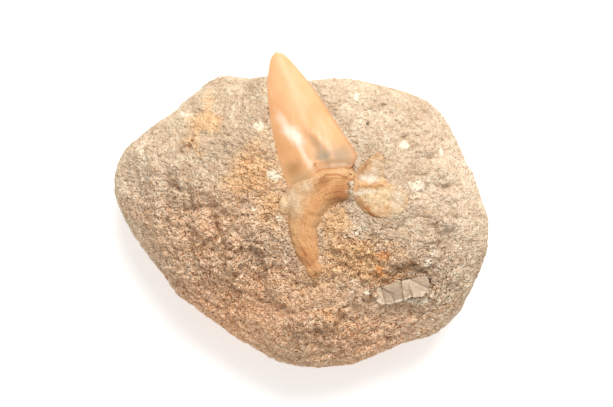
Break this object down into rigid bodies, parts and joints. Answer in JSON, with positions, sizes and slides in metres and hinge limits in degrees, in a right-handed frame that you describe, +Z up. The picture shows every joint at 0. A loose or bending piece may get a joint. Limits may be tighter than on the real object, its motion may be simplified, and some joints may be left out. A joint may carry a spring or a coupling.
{
  "type": "fossil shark tooth in matrix",
  "caption": "Large fossil shark tooth with root and small side cusps, set in a rounded lump of sandy stone beside a scrap of shell; the stone lies on its flat back.",
  "frame": {"origin": "middle of the flat underside on which the stone lies", "axes": "+X along the stone's length, +Y towards the edge that the tooth's point reaches over, +Z up out of the face that shows the tooth"},
  "size_m": [0.1213, 0.1016, 0.0453],
  "materials": {
    "matrix": "rough, granular sandy limestone with ochre stains",
    "tooth": "smooth amber enamel, satin fibrous root",
    "shell": "dull, smooth and cracked"
  },
  "bodies": {
    "root": {"matrix_stone": "matrix", "shark_tooth": "tooth", "shell_scrap": "shell"}
  },
  "joints": []
}
